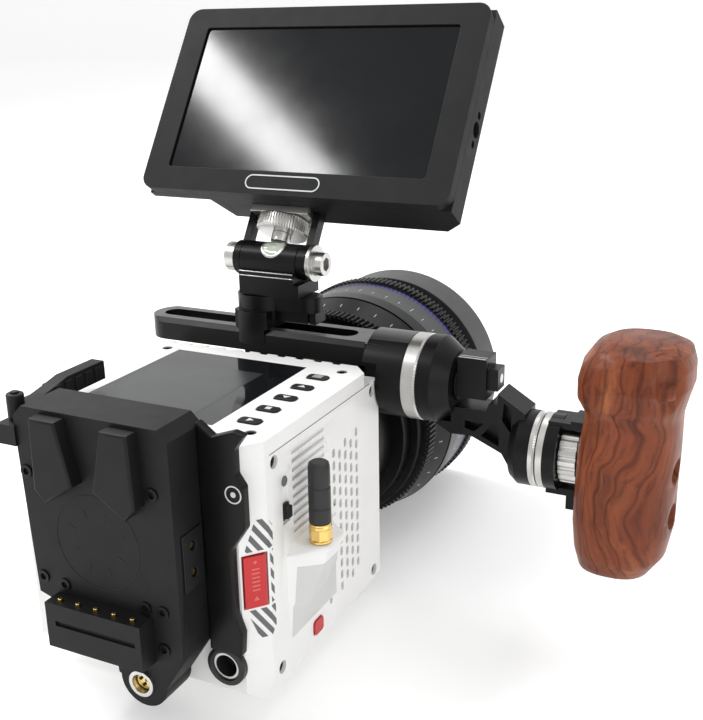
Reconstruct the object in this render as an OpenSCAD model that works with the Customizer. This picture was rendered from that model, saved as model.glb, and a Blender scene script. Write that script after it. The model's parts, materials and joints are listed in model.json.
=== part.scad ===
// Cinema camera rig: cube camera, cine lens, battery plate, top rail, tilting monitor and side grip.
// +Y is the way the lens looks, +X is the grip side, +Z is up. The origin is the mouth of the
// tripod thread under the camera. All sizes are in millimetres.

/* [Body] */
// Width of the camera body
body_w = 101.2; // [98:0.2:104]
// Rear face to the tripod thread
body_rear = 48.2; // [46:0.2:50]
// Front face to the tripod thread
body_front = 50.6; // [48:0.2:53]
// Height of the camera body
body_h = 98.2; // [97:0.1:99]
// Thickness of the top cover
cover_h = 6; // [5.5:0.1:6.5]
// Wall of the body shell
wall = 3; // [2.5:0.1:3.5]
// Height of the lens axis
axis_z = 47.9; // [46:0.1:50]

/* [Top controls] */
// Distance of the button row from the centre plane
button_x = 36.4; // [35:0.1:38]
// Spacing of the buttons
button_pitch = 12.7; // [11:0.1:13]
// Travel of every push button
button_travel = 0.6; // [0.3:0.1:0.8]

/* [Lens] */
// Outer radius of the focus gear
focus_r = 56.8; // [55.6:0.1:58]
// Outer radius of the iris gear
iris_r = 51.5; // [50:0.1:52.5]
// Outer radius of the front ring
hood_r = 54; // [52:0.1:56]
// Front end of the lens
lens_front = 193; // [190:0.5:196]

/* [Battery plate] */
// Width of the battery plate
plate_w = 64; // [62:0.5:64]
// Rear face of the battery plate
plate_rear = 68; // [66:0.5:70]
// Top of the battery plate
plate_top = 109; // [108:0.5:110]

/* [Top rail] */
// Width of the rail
rail_w = 22; // [21:0.5:22]
// Centre line of the rail
rail_y = 64; // [64:0.5:65]
// Top face of the rail
rail_top = 105.3; // [105:0.1:106]
// Width of the rail slot
slot_w = 9.6; // [8:0.1:10]

/* [Monitor] */
// Backward lean of the monitor
lean = 33.4; // [20:0.1:45]
// Width of the monitor
monitor_w = 145.6; // [143:0.2:148]
// Height of the monitor
monitor_h = 89.4; // [87:0.2:91]
// Depth of the monitor
monitor_d = 26.6; // [26:0.2:29]

/* [Grip] */
// Radius of the large rosette
rosette_r = 18; // [17:0.1:19]
// Radius of the grip rosette
grip_rosette_r = 15.3; // [15:0.1:16]

/* [Hidden] */
$fn = 64;
eps = 0.1;
gap = 0.3;
fit = 0.08;
hw = body_w / 2;
cover_z = body_h - cover_h;
panel_x = hw - wall;
// Rear right corner: the flat that carries the media door
corner_a = [hw - 6.8, -body_rear];
corner_b = [hw, -body_rear + 8.2];
corner_mid = (corner_a + corner_b) / 2;
corner_turn = atan2(corner_b[1] - corner_a[1], corner_b[0] - corner_a[0]);
door_w = 8.4;
door_z = [37.5, 57.3];
door_t = 2.5;
// Side panel
panel_y = [-37, 48.4];
panel_z = 4;
rec_at = [-6.6, 9.4];
switch_at = [-27, 69.5];
switch_knob_z = 67;
panel_screws = [[-34, 88.6], [44.4, 88.5], [-34, 7.6], [44.5, 7.6]];
vent_y0 = 5;
vent_pitch_y = 4.9;
vent_pitch_z = 5.2;
antenna_at = [59, -17.7];
antenna_z = 52.8;
// Top cover
glass_x = [-36, 26.2];
glass_y = [-34, 35.2];
glass_t = 1.5;
cover_screws = [[-42, 35], [41.8, 35.6], [42, -34.4]];
button_size = [8.8, 4.9];
bevel = 6;
// Rear panel sockets
dc_at = [37.1, 14.2];
dc_r = 6.8;
lemo_at = [9.5, 7.4];
lemo_r = 5.2;
dtap_y = [-64.5, -53];
dtap_z = [49.5, 70.5];
// Battery plate
pw = plate_w / 2;
face_y = -plate_rear;
pad_t = 5.6;
block_x = 20.4;
block_z = [22, 39.5];
plate_screw_at = [[-28.4, 85], [24.5, 86], [-26.2, 44.6], [-16.8, 43.4], [18, 42.6], [25.2, 42.6],
    [24.5, 28]];
lever_at = [-35.8, -62];
lever_z = [101.6, 109.5];
// Lens stations along the optical axis
mount_face = 53;
adapter_end = 92;
flange_end = 99;
iris_end = 124.7;
focus_start = 125;
gear_start = 152.8;
focus_end = 161.3;
neck_end = 173;
core_r = 40;
dome_y = 96;
dome_r = 80;
dome_base = 162.6;
dome_step = 5.45;
// Rail and first rosette
rail_bottom = 95.5;
rail_x = [-67.2, 50];
slot_x = [-62.3, 35];
slot_floor = 98.9;
hub_x = [44.5, 62];
hub_z = 90.8;
ros_x = 68.3;
// Monitor mount
post_at = [-10.3, rail_y];
post_r = 9.4;
post_foot = 12.9;
collar_r = 11;
collar_z = [113.2, 119.8];
tilt_z = 134;
barrel_r = 7.4;
mount_x = -3.5;
yoke_left = [-20.6, -17.3];
yoke_right = [10.2, 14.3];
upright_y = 2.6;
wheel_r = 11.4;
wheel_z = [11.8, 18.2];
plate_z = [18.6, 21.8];
mon_x = 3.3;
mon_front = -18.5;
mon_z = plate_z[1];
screen = [122.3, 68.8];
bezel_t = 5.5;
// Arm and grip
arm_y = [57, 71];
cone_x = [74.4, 81];
cone_r = 13;
bolt_r = 4;
ros2_z = 67;
ros2_x = 114.4;
ros_t = 2.8;
knob_x = [125.6, 132.6];
adapter_x = [120.3, 137];
grip_bolts = [[57, 69.4], [57, 51]];
// Grip sections from bottom to top: height, left, right, near and far side
grip_rows = [
    [23.8, 142.5, 157, 50, 68], [26.5, 135, 162.5, 45, 75], [34, 133, 167.6, 41.5, 79.5],
    [45, 132, 169.6, 40, 81], [60, 132.2, 169.6, 40, 81], [75, 132.6, 170, 40.5, 80],
    [86, 134.4, 170, 40.5, 79], [91, 134.8, 170, 39.5, 79.5], [97, 132, 171.4, 36, 81],
    [104, 132, 173.2, 34.5, 82], [111, 133.6, 173, 36, 81.5], [116, 137, 171.5, 39, 79],
    [118.8, 142, 167, 46, 72]];

// ---- Shared shapes ----

// Box between two corners
module block(a, b) {
    translate(a)
        cube(b - a);
}

// Cylinders along each axis, from one station to another
module along_x(x, at, r) {
    translate([x[0], at[0], at[1]])
        rotate([0, 90, 0])
            cylinder(h = x[1] - x[0], r = r);
}

module along_y(y, at, r) {
    translate([at[0], y[0], at[1]])
        rotate([-90, 0, 0])
            cylinder(h = y[1] - y[0], r = r);
}

module along_z(z, at, r) {
    translate([at[0], at[1], z[0]])
        cylinder(h = z[1] - z[0], r = r);
}

// Solid of revolution about a line along X: points are [radius, x]
module turned_x(at, points) {
    translate([0, at[0], at[1]])
        rotate([0, 90, 0])
            rotate_extrude($fn = 96)
                polygon(points);
}

// Solid of revolution about the optical axis: points are [radius, y]
module turned_y(points) {
    translate([0, 0, axis_z])
        rotate([-90, 0, 0])
            rotate_extrude($fn = 128)
                polygon(points);
}

// Flat outline drawn in X and Z, given depth along Y
module in_xz(y) {
    translate([0, y[1], 0])
        rotate([90, 0, 0])
            linear_extrude(y[1] - y[0])
                children();
}

// Flat outline drawn in Y and Z, given depth along X
module in_yz(x) {
    translate([x[0], 0, 0])
        rotate([90, 0, 90])
            linear_extrude(x[1] - x[0])
                children();
}

// Rounded rectangle centred on the origin
module round_rect(size, r) {
    square([size[0] - 2 * r, size[1]], center = true);
    square([size[0], size[1] - 2 * r], center = true);
    for (x = [-1, 1], y = [-1, 1])
        translate([x * (size[0] / 2 - r), y * (size[1] / 2 - r)])
            circle(r, $fn = 32);
}

// Upright slot outline
module stadium(w, h) {
    square([w, h - w], center = true);
    for (s = [-1, 1])
        translate([0, s * (h - w) / 2])
            circle(w / 2, $fn = 16);
}

// Frame of the media door: X along the corner flat, Y into the body
module on_corner() {
    translate([corner_mid[0], corner_mid[1], 0])
        rotate([0, 0, corner_turn])
            children();
}

// Frame of the monitor head: origin on the tilt axis, Z along the stud
module on_head() {
    translate([0, rail_y, tilt_z])
        rotate([-lean, 0, 0])
            children();
}

// ---- Camera body ----

module body_outline() {
    polygon([[-hw, -body_rear], corner_a, corner_b, [hw, body_front], [-hw, body_front]]);
}

module bottom_bevels() {
    translate([0, -body_rear, 0])
        rotate([45, 0, 0])
            cube([body_w + 2, 5, 5], center = true);
    translate([hw, 0, -0.6])
        rotate([2.4, 0, 0])
            rotate([0, 45, 0])
                cube([3.4, 140, 3.4], center = true);
}

module body_shell() {
    color("whitesmoke")
        difference() {
            union() {
                difference() {
                    linear_extrude(cover_z)
                        body_outline();
                    bottom_bevels();
                    block([-panel_x, -36, wall], [panel_x, 43.6, cover_z + eps]);
                    block([-panel_x, -body_rear + wall, wall], [hw - 10.6, -35, cover_z + eps]);
                }
                along_z([1, 12], [0, 0], 9);
                along_z([1, 12], [0, 24], 9);
            }
            block([panel_x, panel_y[0], panel_z], [hw + eps, panel_y[1], cover_z + eps]);
            along_y([40, body_front + eps], [0, axis_z], 24);
            along_z([-eps, 9], [0, 0], 3.175);
            along_z([-eps, 9], [0, 24], 4.76);
            along_y([-body_rear - eps, -41.9], dc_at, dc_r);
            on_corner()
                block([-door_w / 2 - 0.5, -3, door_z[0] - 0.5], [door_w / 2 + 0.6, 2.6, door_z[1] + 0.5]);
        }
}

module top_cover() {
    color("whitesmoke")
        difference() {
            translate([0, 0, cover_z])
                linear_extrude(cover_h)
                    body_outline();
            translate([0, body_front, body_h])
                rotate([45, 0, 0])
                    cube([body_w + 2, bevel * sqrt(2), bevel * sqrt(2)], center = true);
            translate([hw + 2.3, body_front - 3.6, 0])
                rotate([0, 0, 42])
                    cube([16, 18, 3 * body_h], center = true);
            for (i = [0:9])
                block([-44.5 + i * 8.6, body_front - 7.6, body_h - 1],
                    [-40.5 + i * 8.6, body_front, body_h + eps]);
            block([glass_x[0], glass_y[0], body_h - glass_t], [glass_x[1], glass_y[1], body_h + eps]);
            block([-44, -44, cover_z - eps], [28, 38, cover_z + 2]);
            for (i = [-2:2])
                translate([button_x, i * button_pitch, cover_z - eps])
                    linear_extrude(cover_h + 1)
                        round_rect(button_size + [2 * gap, 2 * gap], 1.8);
            for (p = cover_screws)
                along_z([body_h - 2, body_h + eps], p, 2.2);
        }
}

module screen_glass() {
    color("black")
        block([glass_x[0], glass_y[0], body_h - glass_t], [glass_x[1], glass_y[1], body_h]);
}

// Place of button number i in the row, counted from the rear
module top_button(i) {
    color("dimgray")
        translate([button_x, (i - 2) * button_pitch, body_h - 3.4])
            linear_extrude(4)
                round_rect(button_size, 1.6);
}

module menu_button() {
    top_button(4);
}

module up_button() {
    top_button(3);
}

module down_button() {
    top_button(2);
}

module select_button() {
    top_button(1);
}

module play_button() {
    top_button(0);
}

module vent_field() {
    for (c = [0:5], r = [0:11])
        translate([vent_y0 + c * vent_pitch_y, 14.5 + c * 0.4 + (r + (c % 2) / 2) * vent_pitch_z])
            stadium(2.2, 3.8);
}

module antenna_boss() {
    hull() {
        block([hw - 1, -28, 15], [hw + eps, 11, antenna_z]);
        along_z([50, antenna_z], antenna_at, 5.4);
        along_z([50, antenna_z], [56.5, -1], 4);
    }
}

module right_panel() {
    color("whitesmoke")
        difference() {
            union() {
                in_yz([panel_x, hw])
                    difference() {
                        translate([panel_y[0], panel_z])
                            square([panel_y[1] - panel_y[0], cover_z - panel_z]);
                        vent_field();
                        translate(rec_at)
                            round_rect([7 + 2 * gap, 6 + 2 * gap], 1.8);
                        for (p = panel_screws)
                            translate(p)
                                circle(2.5);
                    }
                antenna_boss();
            }
            block([hw - 1.4, switch_at[0] - 2.5, switch_at[1] - 7],
                [hw + eps, switch_at[0] + 2.5, switch_at[1] + 7]);
            for (i = [0:9])
                block([hw - 1, -22, 56 + i * 3.4], [hw + eps, 2.4, 57.6 + i * 3.4]);
            along_z([45.9, antenna_z + eps], antenna_at, 2.5);
        }
}

module rec_button() {
    color("crimson")
        in_yz([panel_x + 0.7, hw + 0.8])
            translate(rec_at)
                round_rect([7, 6], 1.6);
}

module power_switch() {
    color("dimgray") {
        block([hw - 1.2, switch_at[0] - 2.1, switch_knob_z - 3], [hw, switch_at[0] + 2.1, switch_knob_z + 3]);
        block([hw, switch_at[0] - 1.7, switch_knob_z - 2.2],
            [hw + 1.6, switch_at[0] + 1.7, switch_knob_z + 2.2]);
    }
}

module media_door() {
    color("firebrick")
        on_corner() {
            block([-door_w / 2, -1, door_z[0]], [door_w / 2 - 1.2, door_t - 1, door_z[1]]);
            along_z(door_z, [door_w / 2 - 1.2, door_t / 2 - 1], door_t / 2);
        }
}

module dc_socket() {
    color("silver")
        difference() {
            along_y([-body_rear - 2, -42], dc_at, dc_r);
            along_y([-body_rear - 2 - eps, -44], dc_at, 4.3);
        }
}

module screw_head(h, r) {
    difference() {
        cylinder(h = h, r = r);
        translate([0, 0, h - 0.9])
            cylinder(h = 1, r = r * 0.55, $fn = 6);
    }
}

module body_screws() {
    color("dimgray") {
        for (p = cover_screws)
            translate([p[0], p[1], body_h - 2])
                screw_head(1.7, 2.2);
        for (p = panel_screws)
            translate([panel_x, p[0], p[1]])
                rotate([0, 90, 0])
                    screw_head(1.6, 2.5);
    }
}

module antenna_jack() {
    color("goldenrod")
        along_z([46, 58.5], antenna_at, 2.5);
}

module antenna_nut() {
    color("gold")
        difference() {
            along_z([antenna_z + gap, 60.4], antenna_at, 4.2);
            along_z([antenna_z, 59], antenna_at, 2.5 + fit);
        }
}

module antenna_whip() {
    color("black")
        along_z([60.4, 84], antenna_at, 4.05);
}

module sensor_block() {
    color("darkgreen")
        difference() {
            union() {
                block([-30, 40.6, axis_z - 28], [30, 43.6, axis_z + 28]);
                block([-20, 32.6, axis_z - 15], [20, 40.6, axis_z + 15]);
            }
            block([-14, 38.6, axis_z - 8], [14, 43.7, axis_z + 8]);
        }
}

module main_board() {
    color("seagreen") {
        block([-44, -28, wall], [38, -26.4, 86]);
        block([-20, -26.4, 34], [8, -22.4, 62]);
        for (i = [0:3])
            block([14, -26.4, 20 + i * 14], [26, -24.6, 29 + i * 14]);
    }
}

module fan_frame() {
    color("dimgray")
        difference() {
            block([panel_x - 10, -4, 21.5], [panel_x, 40, 65.5]);
            along_x([panel_x - 8, panel_x + eps], [18, 43.5], 19.4);
            difference() {
                along_x([panel_x - 10 - eps, panel_x - 7.9], [18, 43.5], 19.4);
                along_x([panel_x - 11, panel_x - 7], [18, 43.5], 8);
                block([panel_x - 11, 16.6, 20], [panel_x - 7, 19.4, 67]);
                block([panel_x - 11, -5, 42.1], [panel_x - 7, 41, 44.9]);
            }
            along_x([panel_x - 11, panel_x - 7], [18, 43.5], 1.5 + fit);
        }
}

module fan_rotor() {
    color("black") {
        along_x([panel_x - 9.5, panel_x - 7], [18, 43.5], 1.5);
        along_x([panel_x - 7.4, panel_x - 1], [18, 43.5], 8);
        for (i = [0:6])
            translate([panel_x - 4.2, 18, 43.5])
                rotate([i * 360 / 7, 0, 0])
                    translate([0, 0, 13])
                        rotate([0, 0, 38])
                            cube([1.4, 6.4, 11], center = true);
    }
}

// ---- Lens and its mount ----

module lens_mount() {
    color("silver")
        turned_y([[24, body_front], [31, body_front], [31, mount_face], [24, mount_face]]);
}

module lens_adapter() {
    color("dimgray")
        difference() {
            union() {
                along_y([mount_face, adapter_end], [0, axis_z], 38);
                block([-15, rail_y - 10, axis_z + 20], [15, rail_y + 10, rail_bottom]);
            }
            along_y([mount_face - eps, adapter_end + eps], [0, axis_z], 24);
        }
}

module lens_barrel() {
    color("black")
        turned_y([[18, adapter_end], [44, adapter_end], [44, flange_end], [core_r, flange_end],
            [core_r, focus_end + gap], [50, focus_end + gap], [50, neck_end], [44, neck_end],
            [44, dome_base - 0.2], [30, 158], [18, 118]]);
}

module focus_ring() {
    color("dimgray")
        turned_y([[core_r + fit, focus_start], [55.2, focus_start], [55.2, gear_start],
            [focus_r, gear_start], [focus_r, focus_end], [core_r + fit, focus_end]]);
}

module iris_ring() {
    color("black")
        turned_y([[core_r + fit, flange_end + gap], [48, flange_end + gap], [48, 105], [iris_r, 105],
            [iris_r, 112.8], [50.8, 112.8], [55, iris_end], [core_r + fit, iris_end]]);
}

module lens_hood() {
    color("gray")
        turned_y([[44, neck_end], [hood_r, neck_end], [hood_r, lens_front], [47.5, lens_front],
            [47.5, 180], [44, 178]]);
}

function dome_arc() = [for (i = [8:-1:1]) let (r = i * dome_step)
    [r, dome_y + sqrt(dome_r * dome_r - r * r)]];

module lens_elements() {
    color("navy") {
        turned_y(concat([[0, dome_base], [8 * dome_step, dome_base]], dome_arc(), [[0, dome_y + dome_r]]));
        along_y([94, 98], [0, axis_z], 18);
    }
}

// ---- Battery plate ----

module plate_pad(outline) {
    in_xz([face_y - pad_t, face_y])
        polygon(outline);
}

module plate_blank() {
    in_xz([face_y, -body_rear])
        polygon([[-pw, plate_top - 4], [-pw + 4, plate_top], [pw - 4, plate_top], [pw, plate_top - 4],
            [pw, 26], [pw - 6, 20], [-block_x, 20], [-block_x - 2, 36], [-pw + 3, 38]]);
    in_xz([-63, -body_rear]) {
        translate(lemo_at + [0.8, 0.8])
            circle(10);
        polygon([[-0.6, 9], [-2, 20.5], [pw, 26], [17.4, 3.6]]);
    }
    for (s = [-1, 1])
        plate_pad([[s * 20.2, 107.5], [s * 9.3, 107.5], [s * 4.2, 85.2], [s * 16.6, 77], [s * 21, 81.6]]);
    block([-39.2, -69, 94], [-pw + 1, -53, 101.3]);
}

module battery_plate() {
    color("darkslategray")
        difference() {
            plate_blank();
            block([-26, -64, 52], [26, -body_rear + eps, 96]);
            block([27.4, dtap_y[0], dtap_z[0]], [pw + eps, dtap_y[1], dtap_z[1]]);
            along_y([-63 - eps, -58.5], lemo_at, lemo_r);
            for (p = plate_screw_at)
                along_y([face_y - eps, face_y + 1.6], p, 2.4);
            along_z([93, 102], lever_at, 1.5);
        }
}

module plate_wing() {
    color("dimgray")
        in_xz([-52.2, -body_rear])
            polygon([[pw, 21], [45, 21], [45.8, 30], [43.2, 37], [43.2, 62], [49.2, 71], [49.2, 86],
                [46.4, 90], [46.4, 99], [50.4, 104.5], [46, 105.5], [38, 102.5], [pw, 107]]);
}

module contact_block() {
    color("black")
        difference() {
            block([-block_x, face_y - 7.4, block_z[0]], [block_x, face_y, block_z[1]]);
            block([-block_x + 4, face_y - 7.5, 31], [block_x - 2.5, face_y - 6.4, 33]);
            for (i = [-2:2])
                along_z([31, block_z[1] + eps], [i * 7.8, face_y - 4.6], 0.9);
        }
}

module contact_pins() {
    color("gold")
        for (i = [-2:2])
            along_z([31, block_z[1] + 1.2], [i * 7.8, face_y - 4.6], 0.9);
}

module plate_screws() {
    color("black")
        for (p = plate_screw_at)
            translate([p[0], face_y + 1.6, p[1]])
                rotate([90, 0, 0])
                    screw_head(2.2, 2.4);
}

module d_tap_socket() {
    color("black")
        difference() {
            block([27.4, dtap_y[0], dtap_z[0]], [pw + 0.7, dtap_y[1], dtap_z[1]]);
            for (z = [55, 65])
                along_x([28.4, pw + 1], [-58.7, z], 1.8);
        }
}

module power_socket() {
    color("silver")
        difference() {
            along_y([-64.2, -58.5], lemo_at, lemo_r);
            along_y([-64.3, -60], lemo_at, 3.7);
        }
}

module release_lever() {
    color("dimgray")
        difference() {
            union() {
                along_z(lever_z + [0, 1.4], lever_at, 3.1);
                block([-38.6, lever_at[1], lever_z[0] + 0.5], [-33, -17.3, lever_z[1]]);
                for (i = [0:9])
                    block([-39, -50 + i * 3.2, lever_z[0] + 1], [-32.8, -48.4 + i * 3.2, lever_z[1] + 0.7]);
            }
            along_z([lever_z[0] - eps, lever_z[1] + 2], lever_at, 1.5 + fit);
        }
}

module lever_pin() {
    color("silver")
        along_z([95, lever_z[1] + 1.8], lever_at, 1.5);
}

// ---- Top rail and first rosette ----

module rail_bar() {
    block([rail_x[0] + rail_w / 2, rail_y - rail_w / 2, rail_bottom],
        [rail_x[1], rail_y + rail_w / 2, rail_top]);
    along_z([rail_bottom, rail_top], [rail_x[0] + rail_w / 2, rail_y], rail_w / 2);
}

module rail_slot(w, z) {
    block([slot_x[0] + w / 2, rail_y - w / 2, z[0]], [slot_x[1] - w / 2, rail_y + w / 2, z[1]]);
    for (x = [slot_x[0] + w / 2, slot_x[1] - w / 2])
        along_z(z, [x, rail_y], w / 2);
}

module top_rail() {
    color("gray")
        difference() {
            union() {
                rail_bar();
                along_x(hub_x, [rail_y, hub_z], rosette_r);
            }
            block([hub_x[0] - 1, 40, 60], [hw + 0.6, body_front + 0.8, body_h + 0.8]);
            rail_slot(slot_w, [rail_bottom - eps, rail_top + eps]);
            rail_slot(15, [rail_bottom - eps, slot_floor]);
            for (s = [-1, 1])
                translate([-20, rail_y + s * rail_w / 2, rail_top])
                    rotate([45, 0, 0])
                        cube([127, 2.8, 2.8], center = true);
            along_x([52, hub_x[1] + eps], [rail_y, hub_z], bolt_r + fit);
        }
}

module hub_rosette() {
    color("silver")
        turned_x([rail_y, hub_z], [[bolt_r + fit, hub_x[1]], [rosette_r, hub_x[1]], [rosette_r, ros_x],
            [bolt_r + fit, ros_x]]);
}

// ---- Monitor mount ----

module post_cheeks() {
    difference() {
        intersection() {
            along_z([99, rail_top + eps], post_at, post_foot);
            block([post_at[0] - post_r, 40, 99], [post_at[0] + post_r, 90, rail_top + eps]);
        }
        block([-60, rail_y - rail_w / 2 - 0.2, 98], [60, rail_y + rail_w / 2 + 0.2, 110]);
    }
}

module mount_post() {
    color("black")
        difference() {
            union() {
                along_z([rail_top + eps, collar_z[0]], post_at, post_r);
                intersection() {
                    along_z([rail_top + eps, collar_z[0]], post_at, post_foot);
                    block([post_at[0] - post_r, 40, 99], [post_at[0] + post_r - 2, rail_y, collar_z[0]]);
                }
                post_cheeks();
                along_z(collar_z, post_at, collar_r);
                block([post_at[0], rail_y - 6.2, collar_z[0]], [12, rail_y + 6.2, collar_z[1]]);
                along_z(collar_z, [12, rail_y], 6.2);
                block([-4, rail_y - 4.5, 108.4], [17.6, rail_y + 4.5, collar_z[0]]);
            }
            block([13.9, rail_y - 5, 108], [14.7, rail_y + 5, collar_z[0]]);
            along_z([rail_top, 109.4], post_at, 2.95);
            along_z([113.8, collar_z[1] + eps], post_at, 6 + fit);
        }
}

module post_bolt() {
    color("silver") {
        along_z([98.6, 109.4], post_at, 2.95);
        block([post_at[0] - 5, rail_y - 6.5, rail_bottom + gap], [post_at[0] + 5, rail_y + 6.5, 98.6]);
    }
}

module tilt_base() {
    color("black")
        difference() {
            union() {
                along_z([114, 121], post_at, 6);
                block([-16.7, rail_y - 9, collar_z[1] + gap], [12.2, rail_y + 9, 125.8]);
                block([-16.7, rail_y - 9, 125], [9.8, rail_y + 9, 130.6]);
                block([-16.7, rail_y - barrel_r, 128], [9.8, rail_y + barrel_r, tilt_z]);
                along_x([-17, 9.9], [rail_y, tilt_z], barrel_r);
            }
            along_x([-18, 11], [rail_y, tilt_z], 3);
        }
}

module tilt_bolt() {
    color("silver")
        difference() {
            union() {
                along_x([-23, 18], [rail_y, tilt_z], 3 - fit);
                along_x([-25.7, -20.9], [rail_y, tilt_z], 6.4);
                along_x([14.6, 16.4], [rail_y, tilt_z], 7.8);
                along_x([16.4, 21], [rail_y, tilt_z], 5);
            }
            translate([17.6, rail_y, tilt_z])
                rotate([0, 90, 0])
                    cylinder(h = 6, r = 2.9, $fn = 6);
        }
}

module tilt_yoke() {
    color("black")
        on_head()
            difference() {
                union() {
                    for (x = [yoke_left, yoke_right])
                        along_x(x, [0, 0], barrel_r);
                    block([-20.2, -upright_y, 0], [yoke_left[1], upright_y, mon_z - 0.2]);
                    block([10.6, -upright_y, 0], [13.8, upright_y, mon_z - 0.2]);
                }
                along_x([-22, 16], [0, 0], 3);
            }
}

module monitor_plate() {
    color("silver")
        on_head()
            difference() {
                block([yoke_left[1], -8, plate_z[0]], [10.6, 8, plate_z[1]]);
                along_z([18, 22], [mount_x, 0], 3.45);
            }
}

module thumbwheel() {
    color("silver")
        on_head() {
            along_z(wheel_z, [mount_x, 0], wheel_r);
            along_z([wheel_z[1], 29.4], [mount_x, 0], 3.1);
        }
}

module stud_cap() {
    color("lightgray")
        on_head()
            along_z([barrel_r + 0.4, wheel_z[0]], [mount_x, 0], 4.2);
}

// ---- Monitor ----

// Outline in X and Z of the monitor head frame
module monitor_outline(inset) {
    translate([mon_x, mon_z + monitor_h / 2])
        round_rect([monitor_w - 2 * inset, monitor_h - 2 * inset], 6 - inset);
}

module monitor_bezel() {
    color("black")
        on_head()
            difference() {
                in_xz([mon_front, mon_front + bezel_t])
                    monitor_outline(0);
                in_xz([mon_front - eps, mon_front + 1.2])
                    translate([mon_x, mon_z + monitor_h / 2 + 0.5])
                        round_rect(screen, 1.5);
                in_xz([mon_front + 1, mon_front + bezel_t + eps])
                    translate([mon_x, mon_z + monitor_h / 2 + 0.5])
                        round_rect(screen + [8, 6], 1.5);
            }
}

// Plan of the deep rear housing: thick on the connector side, thin on the other
module back_plan(t) {
    x0 = mon_x - monitor_w / 2;
    x1 = mon_x + monitor_w / 2;
    y0 = mon_front + bezel_t;
    y1 = mon_front + monitor_d;
    polygon([[x0 + 2 + t, y0 + (t > 0 ? -eps : 0)], [x1 - t, y0 + (t > 0 ? -eps : 0)], [x1 - t, y1 - 9],
        [x1 - 8 - t / 2, y1 - t], [-34 + t, y1 - t], [-38 + t, y0 + 4 - t / 2],
        [x0 + 2 + t, y0 + 4 - t / 2]]);
}

module monitor_back() {
    color("dimgray")
        on_head()
            difference() {
                translate([0, 0, mon_z])
                    linear_extrude(monitor_h)
                        back_plan(0);
                difference() {
                    translate([0, 0, mon_z + 3])
                        linear_extrude(monitor_h - 6)
                            back_plan(2.5);
                    block([mount_x - 7, -14, mon_z], [mount_x + 7, 10, mon_z + 11]);
                }
                translate([mon_x, mon_front + monitor_d, mon_z + monitor_h])
                    rotate([-33, 0, 0])
                        cube([monitor_w + 2, 22, 9], center = true);
                along_z([mon_z - eps, mon_z + 8], [mount_x, 0], 3.175);
                for (j = [[-6.5, 66.8, 1.7], [-6.5, 60.5, 3.4], [-6.5, 54, 1.7]])
                    along_x([mon_x + monitor_w / 2 - 3, mon_x + monitor_w / 2 + eps], [j[0], j[1]], j[2]);
            }
}

module monitor_glass() {
    color("black")
        on_head()
            in_xz([mon_front + 1.2, mon_front + bezel_t])
                translate([mon_x, mon_z + monitor_h / 2 + 0.5])
                    round_rect(screen + [7.6, 5.6], 1.4);
}

module monitor_board() {
    color("seagreen")
        on_head() {
            block([-50, mon_front + bezel_t, mon_z + 16], [66, mon_front + bezel_t + 1.6, 104]);
            block([-10, mon_front + bezel_t + 1.6, 60], [16, mon_front + bezel_t + 5, 84]);
        }
}

// ---- Arm and grip ----

module disc_solid() {
    turned_x([rail_y, hub_z], [[bolt_r + fit, ros_x + gap], [rosette_r, ros_x + gap], [rosette_r, cone_x[0]],
        [cone_r, cone_x[1]], [bolt_r + fit, cone_x[1]]]);
}

module arm_disc() {
    color("black")
        disc_solid();
}

module clamp_lever() {
    color("dimgray") {
        along_x([57, 82.1], [rail_y, hub_z], bolt_r);
        along_x([cone_x[1] + gap, 82], [rail_y, hub_z], 8);
        block([82, rail_y - 6, hub_z - 4.8], [94.3, rail_y + 6, hub_z + 12.2]);
        block([94.3, rail_y - 4.2, hub_z - 1], [98.6, rail_y + 4.2, hub_z + 8]);
    }
}

module arm_pocket(points) {
    for (y = [[arm_y[0] - eps, arm_y[0] + 4], [arm_y[1] - 4, arm_y[1] + eps]])
        in_xz(y)
            polygon(points);
}

module extension_arm() {
    color("black")
        difference() {
            union() {
                in_xz(arm_y)
                    polygon([[73, 74], [80.5, 82], [94.8, 82], [96, 85.4], [99.4, 85.4], [99.6, 90],
                        [111, 83], [111, 55], [104, 61], [101.6, 65], [88.6, 70.6], [80, 70.2]]);
                turned_x([rail_y, ros2_z], [[0, 106], [13, 106], [grip_rosette_r, 109],
                    [grip_rosette_r, ros2_x], [0, ros2_x]]);
            }
            disc_solid();
            along_x([60, 80], [rail_y, hub_z], rosette_r - 1);
            arm_pocket([[86, 73.6], [90, 72.6], [94, 76.6], [86, 76.8]]);
            arm_pocket([[93, 71.2], [100.4, 67.8], [100.4, 76.6], [97.4, 76.6]]);
            arm_pocket([[101.6, 79], [102.2, 86.4], [105.4, 83.8], [105.4, 74]]);
            along_x([105, ros2_x + eps], [rail_y, ros2_z], bolt_r);
        }
}

module rosette_ring(x) {
    turned_x([rail_y, ros2_z], [[bolt_r, x], [grip_rosette_r, x], [grip_rosette_r, x + ros_t],
        [bolt_r, x + ros_t]]);
}

module arm_rosette() {
    color("silver")
        rosette_ring(ros2_x);
}

module grip_rosette() {
    color("silver")
        rosette_ring(adapter_x[0] - ros_t);
}

module grip_adapter() {
    color("black")
        difference() {
            union() {
                along_x([adapter_x[0], 125.2], [rail_y, ros2_z], grip_rosette_r);
                block([adapter_x[0], rail_y - 7, 79.5], [adapter_x[1], rail_y + 7, 81.9]);
                block([129, rail_y - 7, 81], [adapter_x[1], rail_y + 7, 83]);
                block([adapter_x[0], rail_y - 7, 51.6], [adapter_x[1], rail_y + 7, 54.4]);
                block([133.2, rail_y - 7, 51.6], [adapter_x[1], rail_y + 7, 83]);
                block([127.8, rail_y - 4, 44.5], [132.4, rail_y + 4, 51.7]);
            }
            along_x([adapter_x[0] - eps, 126], [rail_y, ros2_z], bolt_r);
            for (p = grip_bolts)
                along_x([133, adapter_x[1] + eps], p, 2.5);
        }
}

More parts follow.
